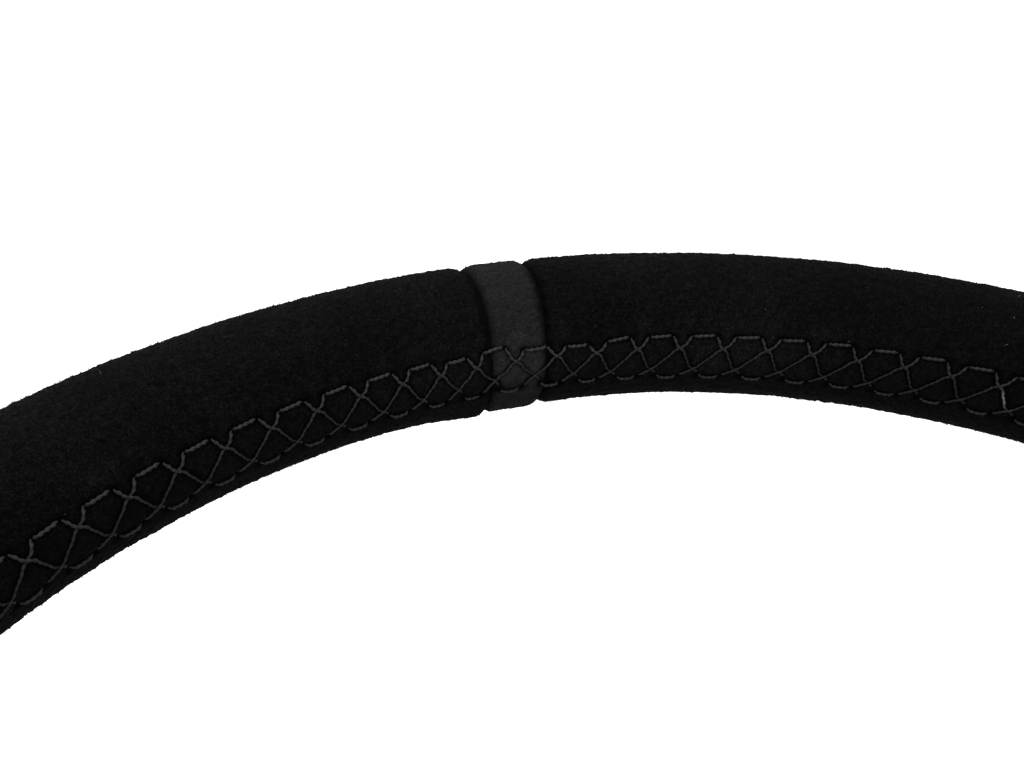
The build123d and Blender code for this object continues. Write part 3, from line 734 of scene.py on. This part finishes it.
def cover_tree():
    """A suede panel: a skin round the foam, tucked in at both ends, drawn in by its lacing."""
    group = geometry_group("suede_cover", {**PANEL_INPUTS, "Rows": count(430), "Columns": count(208)})
    position = group.field("GeometryNodeInputPosition")
    along, across, _ = group.parts(position)
    along, across = along + 0.5, across + 0.5
    section = SEAM_MIDDLE + across * 360.0
    start, end = panel_ends(group, section)

    def wall(rows, low, high):
        """A flat grid, laid out on its own strip of the piece's map."""
        inputs = {"Size X": 1.0, "Size Y": 1.0, "Vertices X": rows, "Vertices Y": group.given("Columns")}
        grid = group.field("GeometryNodeMeshGrid", inputs)
        map_place = group.point(along, across * (high - low) + low, 0.0)
        return named(group, grid, "OFBake", map_place, "FLOAT2", "CORNER")

    # Rows stand closer together near the panel's ends, where the lip is rolled
    reach = 0.02
    shift = 0.55 * reach
    packed = along - shift * (1.0 - group.exp(-along / reach))
    packed = packed + shift * (1.0 - group.exp((along - 1.0) / reach))
    packed = (packed - shift) / (1.0 - 2 * shift)
    turn = start + (end - start) * packed
    radius, dark = panel_surface(group, turn, section, start, end)
    # The outer face stores its painted shade and light, with the light scuffs, for the nap's colour
    outer = named(group, wall(group.given("Rows"), 0.0, OUTER_SHARE), "painted_shading_and_scuffs", dark)
    surface = grip_point(group, turn, section, radius)
    outside = group.field("GeometryNodeSetPosition", {"Geometry": outer, "Position": surface})

    even_turn = start + (end - start) * along
    inner = group.given("Grip Radius") - group.given("Skin") + fullness(group, even_turn, section)
    lining = grip_point(group, even_turn, section, inner)
    # The lining takes full painted shade
    back = named(group, wall(25, 0.975, 1.0), "painted_shading_and_scuffs", 1.0)
    inside = group.field("GeometryNodeSetPosition", {"Geometry": back, "Position": lining})
    inside = group.field("GeometryNodeFlipFaces", {0: inside})
    both = group.add("GeometryNodeJoinGeometry")
    group.put(both.inputs[0], outside)
    group.put(both.inputs[0], inside)
    closed = group.field("GeometryNodeMergeByDistance", {"Geometry": both.outputs[0], "Distance": 0.000001})
    smooth = group.field("GeometryNodeSetShadeSmooth", {"Geometry": closed, "Shade Smooth": True})
    return finish_geometry(group, smooth)


def nap_tree():
    """The longer fibres of a panel's nap: small closed tufts scattered over it, each leaning its own way."""
    group = geometry_group(
        "nap_fibres",
        {
            **PANEL_INPUTS,
            "Fibres": count(1000),
            "Fibre Length": number(0.0006),
            "Fibre Width": number(0.0001),
            "Lean": number(0.6),
            "Seed": count(1),
        },
    )
    points = group.field("GeometryNodePoints", {"Count": group.given("Fibres")})
    seed = group.given("Seed")
    across = group.random(0.0, 1.0, seed)
    section = SEAM_MIDDLE + across * 360.0
    start, end = panel_ends(group, section)
    along = group.random(0.0, 1.0, seed + 1.0)
    turn = start + (end - start) * along
    radius, _ = panel_surface(group, turn, section, start, end)
    root = grip_point(group, turn, section, radius - 0.05 * MM)

    east, north = turn * DEGREE, section * DEGREE
    level = group.cos(north)
    outwards = group.point(level * group.cos(east), level * group.sin(east), group.sin(north))
    sideways = [group.random(-1.0, 1.0, seed + 2.0 + axis) * group.given("Lean") for axis in range(3)]
    leaning = group.point(*sideways)
    way = group.field("ShaderNodeVectorMath", {0: outwards, 1: leaning}, operation="ADD")
    turned = group.field("FunctionNodeAlignRotationToVector", {"Vector": way}, axis="Z")
    placed = group.field("GeometryNodeSetPosition", {"Geometry": points, "Position": root})
    placed = named(group, placed, "root", group.point(along, across * OUTER_SHARE, 0.0), "FLOAT_VECTOR")

    inputs = {"Vertices": 3, "Side Segments": 1, "Fill Segments": 1, "Radius Top": 0.0}
    inputs.update({"Radius Bottom": group.given("Fibre Width"), "Depth": group.given("Fibre Length")})
    tuft = group.field("GeometryNodeMeshCone", inputs, fill_type="NGON")
    tuft = named(group, tuft, "spread", group.field("GeometryNodeInputPosition"), "FLOAT_VECTOR")
    in_seam = group.bell((section % 360.0) - SEAM_MIDDLE, 24.0)
    long = group.random(0.4, 1.25, seed + 5.0) * (1.0 - in_seam * 0.75)
    inputs = {"Points": placed, "Instance": tuft, "Rotation": turned, "Scale": group.point(1.0, 1.0, long)}
    scattered = group.field("GeometryNodeInstanceOnPoints", inputs)
    real = group.field("GeometryNodeRealizeInstances", {0: scattered})

    # Each tuft takes the spot of its root on the piece's map
    stored = [
        group.field("GeometryNodeInputNamedAttribute", {"Name": name}, data_type="FLOAT_VECTOR")
        for name in ("root", "spread")
    ]
    (u, v, _), (x, y, z) = [group.parts(value) for value in stored]
    map_place = group.point(u + (x + z) * 4.0, v + (y + z) * 8.0, 0.0)
    mapped = named(group, real, "OFBake", map_place, "FLOAT2", "CORNER")
    return finish_geometry(group, mapped)


COVERS = cover_tree()
NAP_FIBRES = nap_tree()
RIM_SIZES = {"rim_radius": RIM_RADIUS, "rim_height": RIM_HEIGHT, "grip_radius": GRIP_RADIUS}
PANEL_GAP = 0.055
FIBRES_PER_DEGREE, FIBRE_WIDTH = 310, 0.075 * MM


def suede_panel(side, replaced, start, end, slot, rows=430, fibre_length=0.6 * MM, waver=0.0, fullness=0.0):
    """One suede panel between two angles, with its nap."""
    sizes = dict(RIM_SIZES, skin=SKIN, start=start + PANEL_GAP, end=end - PANEL_GAP)
    sizes.update(waver=waver, fullness=fullness, material=MATERIALS[slot])
    panel = grow(f"cover_{side}", COVERS, **sizes, rows=rows)
    fibres = int((end - start) * FIBRES_PER_DEGREE)
    sizes.update(fibres=fibres, fibre_length=fibre_length, fibre_width=FIBRE_WIDTH, seed=int(start) + 200)
    nap = grow(f"nap_{side}", NAP_FIBRES, **sizes)
    for piece in (panel, nap):
        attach(piece, "wheel")
    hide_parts(replaced)


def black_panel(side, start, end, **cut):
    suede_panel(side, f"suede_{side}", start, end, "suede_black", **cut)


LEFT_EDGE, RIGHT_EDGE = TWELVE_O_CLOCK + BAND_HALF_ANGLE, TWELVE_O_CLOCK - BAND_HALF_ANGLE
black_panel("upper_left", LEFT_EDGE, 180, waver=0.5 * MM, fullness=1.9 * MM)
black_panel("lower_left", 180, 270)
black_panel("upper_right", 0, RIGHT_EDGE, waver=1.2 * MM, fullness=0.7 * MM)
black_panel("lower_right", -90, 0)
suede_panel(
    "band", "centre_band", RIGHT_EDGE, LEFT_EDGE, "suede_grey", rows=48, fibre_length=0.35 * MM,
    waver=0.5 * MM, fullness=0.9 * MM,
)

# ----------------------------------------------------------------------------- lint


def lint(side, start, end, specks=44):
    """A few pale specks and hairs that cling to the nap, lying nearly flat."""
    sizes = dict(RIM_SIZES, skin=SKIN, start=start, end=end, fibres=specks, seed=int(start) + 41)
    sizes.update(fibre_length=1.0 * MM, fibre_width=0.085 * MM, lean=2.5, material=MATERIALS["lint"])
    scattered = grow(f"lint_{side}", NAP_FIBRES, **sizes)
    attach(scattered, "wheel")


lint("left", LEFT_EDGE, 150)
lint("right", 30, RIGHT_EDGE)

# --------------------------------------------------------------------------- lacing


def lacing_tree():
    """The cross lacing: each stitch is two crossing diagonals, a dash above and a slack loop below."""
    group = geometry_group(
        "cross_lacing",
        {**GRIP_INPUTS, "First": count(0), "Stitches": count(10), "Thread Radius": number(0.0004)},
    )
    thread_radius = group.given("Thread Radius")
    strands = group.add("GeometryNodeJoinGeometry")
    index = group.field("GeometryNodeInputIndex")

    def strand(points, path, thickness, tight=0.0):
        """One strand of every stitch, along a path given as stitch, height across the seam and lift."""
        total = group.given("Stitches") * float(points)
        line = group.field("GeometryNodeMeshLine", {"Count": total})
        inputs = {"Geometry": line, "Selection": (index + 1.0) % float(points) < 0.5}
        cut = group.field("GeometryNodeDeleteGeometry", inputs, domain="EDGE", mode="EDGE_FACE")
        stitch = group.math("FLOOR", (index + 0.5) / float(points)) + group.given("First")
        along = (index % float(points)) / float(points - 1)
        across, height, lift = path(along)
        # No two stitches are drawn quite alike
        unlike = group.noise(group.point(stitch * 7.3, points * 1.7, 0.0), 1.0, detail=0.0)
        height = height + unlike * 0.05
        across = across + stitch
        drawn = group.bell(height - TIGHT_HEIGHT, TIGHT_REACH) * tight
        pale = group.bell(across - PALE_STITCH, 0.2) * group.bell(height - PALE_HEIGHT, 0.17)
        # The threads are made darker further to the right, the tight ones most
        rightward_darkening = rightwards(group, across, DARKENING_REACH) * (0.56 + tight * 0.9)
        tone = (1.0 - drawn * TIGHT_SHADE) * (1.0 - rightward_darkening) + group.least(pale * 1.6, 1.0) * PALENESS
        across = across + lean(group, across, height)
        height = height + stray(group, across, height)
        section = UPPER_LINE + height * (LOWER_LINE - UPPER_LINE)
        turn = stitch_turn(group, across)
        place = grip_point(group, turn, section, group.given("Grip Radius") + lift * thread_radius)
        placed = group.field("GeometryNodeSetPosition", {"Geometry": cut, "Position": place})
        curve = group.field("GeometryNodeMeshToCurve", {0: named(group, placed, "tone", tone)})
        twist = group.field("GeometryNodeSplineParameter", output="Length") * (2 * math.pi / TWIST_LENGTH)
        twisted = group.field("GeometryNodeSetCurveTilt", {"Curve": curve, "Tilt": twist})
        ring = group.field("GeometryNodeCurvePrimitiveCircle", {"Resolution": 9, "Radius": 1.0})
        x, y, _ = group.parts(group.field("GeometryNodeInputPosition"))
        lobes = group.cos(group.math("ARCTAN2", y, x) * 2.0) * PLY_DEPTH + 1.0
        size = lobes * thread_radius * thickness
        outline = group.point(x * size, y * size, 0.0)
        plies = group.field("GeometryNodeSetPosition", {"Geometry": ring, "Position": outline})
        inputs = {"Curve": twisted, "Profile Curve": plies, "Scale": 1.0 - drawn, "Fill Caps": True}
        group.put(strands.inputs[0], group.field("GeometryNodeCurveToMesh", inputs))

    def dive(along, top, sharpness, depth=2.8):
        """The lift of a strand, in thread radii: level along its middle, and down into a hole at each end."""
        ends = group.magnitude(along * 2.0 - 1.0) ** sharpness
        return top - ends * depth

    def upper_dash(along):
        height = 0.015 - along * 0.025
        return along * 0.46 + 0.27, height, dive(along, 0.5, 8.0)

    def falling(along):
        over = group.bell(along - 0.29, 0.1) * 1.2
        height = along * FALLING_DROP + FALLING_TOP
        return falling_strand(group, height), height, dive(along, 0.4, 16.0) + over

    def rising(along):
        over = group.bell(along - 0.8, 0.08) * 1.2
        height = along * RISING_DROP + RISING_TOP
        return rising_strand(group, height), height, dive(along, 0.4, 18.0) + over

    def slack_loop(along):
        height = group.sin(along * math.pi) * 0.028 + 1.0
        return along * 0.43 + 0.705, height, dive(along, 0.55, 8.0)

    strand(16, upper_dash, 1.0)
    strand(40, falling, 0.88, TIGHTNESS)
    strand(42, rising, 0.88, TIGHTNESS)
    strand(16, slack_loop, 0.8)
    smooth = group.field("GeometryNodeSetShadeSmooth", {"Geometry": strands.outputs[0], "Shade Smooth": True})
    return finish_geometry(group, smooth)


LACING = lacing_tree()


def lace(name, first, stitches):
    """A run of the lacing, from one stitch number on."""
    laced = grow(
        name, LACING, **RIM_SIZES, first=first, stitches=stitches, thread_radius=THREAD_RADIUS,
        material=MATERIALS["thread_grey"],
    )
    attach(laced, "wheel")
    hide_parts("seam_lacing")


lace("lacing_top", -21, 43)
lace("lacing_lower_right", 26, 19)
lace("lacing_lower_left", -44, 19)

# -------------------------------------------------------------------------- springs


def wound_spring(name, node, wire, turns, moving):
    """A round-wire spring in a node's place."""
    box_low, box_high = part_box(node)
    low, high, radius = box_low.z, box_high.z, box_high.x - wire
    steps = int(turns * 40)
    curve = bpy.data.curves.new(name, "CURVE")
    curve.dimensions = "3D"
    curve.bevel_depth = wire
    curve.bevel_resolution = 3
    curve.use_fill_caps = True
    spline = curve.splines.new("POLY")
    spline.points.add(steps)
    for index, point in enumerate(spline.points):
        share = index / steps
        angle = share * turns * 2 * math.pi
        height = low + wire + (high - low - 2 * wire) * share
        point.co = (radius * math.cos(angle), radius * math.sin(angle), height, 1)
    holder = bpy.data.objects.new(name + "_path", curve)
    bpy.context.scene.collection.objects.link(holder)
    bpy.context.view_layer.update()
    mesh = bpy.data.meshes.new_from_object(holder)
    bpy.data.objects.remove(holder)
    mesh.materials.clear()
    mesh.materials.append(MATERIALS["spring_steel"])
    for face in mesh.polygons:
        face.use_smooth = True
    spring = bpy.data.objects.new(name, mesh)
    bpy.context.scene.collection.objects.link(spring)
    ends = [(0, 0, high), (0, 0, low)]
    if moving == "horn":
        ends.reverse()
    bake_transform(spring)
    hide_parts(node)


wound_spring("return_spring", "collar_spring", 0.8 * MM, 3.25, "collar")
wound_spring("horn_return_spring", "horn_spring", 0.6 * MM, 4.0, "horn")

# ---------------------------------------------------------------------------- stage


def floor():
    """A matt white floor that looks as white as the room behind it."""
    mesh = bpy.data.meshes.new("floor")
    size, drop = 3.0, cad_box[0].z - 0.2 * MM
    corners = [(-size, -size, drop), (size, -size, drop), (size, size, drop), (-size, size, drop)]
    mesh.from_pydata(corners, [], [(0, 1, 2, 3)])
    ground = bpy.data.objects.new("floor", mesh)
    bpy.context.scene.collection.objects.link(ground)
    finish = Finish("floor_white", (0.6, 0.6, 0.6), 0.9)
    finish.set("Specular IOR Level", 0.0)
    finish.set("Emission Color", (1, 1, 1, 1))
    finish.set("Emission Strength", finish.field("ShaderNodeLightPath", output="Is Camera Ray"))
    mesh.materials.append(finish.material)


def softbox(name, place, aim, size, power):
    light = bpy.data.lights.new(name, "AREA")
    light.shape = "SQUARE"
    light.size = size
    light.energy = power
    holder = bpy.data.objects.new(name, light)
    holder.location = place
    holder.rotation_euler = (Vector(aim) - Vector(place)).to_track_quat("-Z", "Y").to_euler()
    bpy.context.scene.collection.objects.link(holder)


SKY = 0.55


def studio():
    """A bright room that shows white, with a large softbox overhead and a smaller one at the left."""
    world = bpy.data.worlds.new("studio")
    world.use_nodes = True
    background = world.node_tree.nodes["Background"]
    background.inputs["Color"].default_value = (1, 1, 1, 1)
    seen = Tree(world.node_tree).field("ShaderNodeLightPath", output="Is Camera Ray")
    seen.tree.put(background.inputs["Strength"], seen * (1.0 - SKY) + SKY)
    bpy.context.scene.world = world
    rim = (0, 0, RIM_HEIGHT)
    softbox("overhead", (-0.1, 0.5, 1.5), rim, size=1.6, power=16)
    softbox("left", (-1.2, -0.6, 0.9), rim, size=1.0, power=7)
    bpy.context.scene.view_settings.view_transform = "Standard"
    bpy.context.scene.view_settings.look = "None"


def camera():
    """Stands inside the rim, looking up along it at twelve o'clock."""
    lens = bpy.data.cameras.new("camera")
    lens.sensor_width = 36.0
    lens.lens = 34.7
    lens.clip_start = 0.005
    holder = bpy.data.objects.new("camera", lens)
    right = Vector((0.95086, -0.30750, 0.03629))
    up = Vector((0.14792, 0.55409, 0.81921))
    back = right.cross(up)
    turned = Matrix((right, up, back)).transposed()
    holder.matrix_world = Matrix.LocRotScale(
        Vector((-59.17 * MM, -20.0 * MM, 116.8 * MM + RIM_HEIGHT)), turned.to_quaternion(), None
    )
    bpy.context.scene.collection.objects.link(holder)
    bpy.context.scene.camera = holder


floor()
studio()
camera()
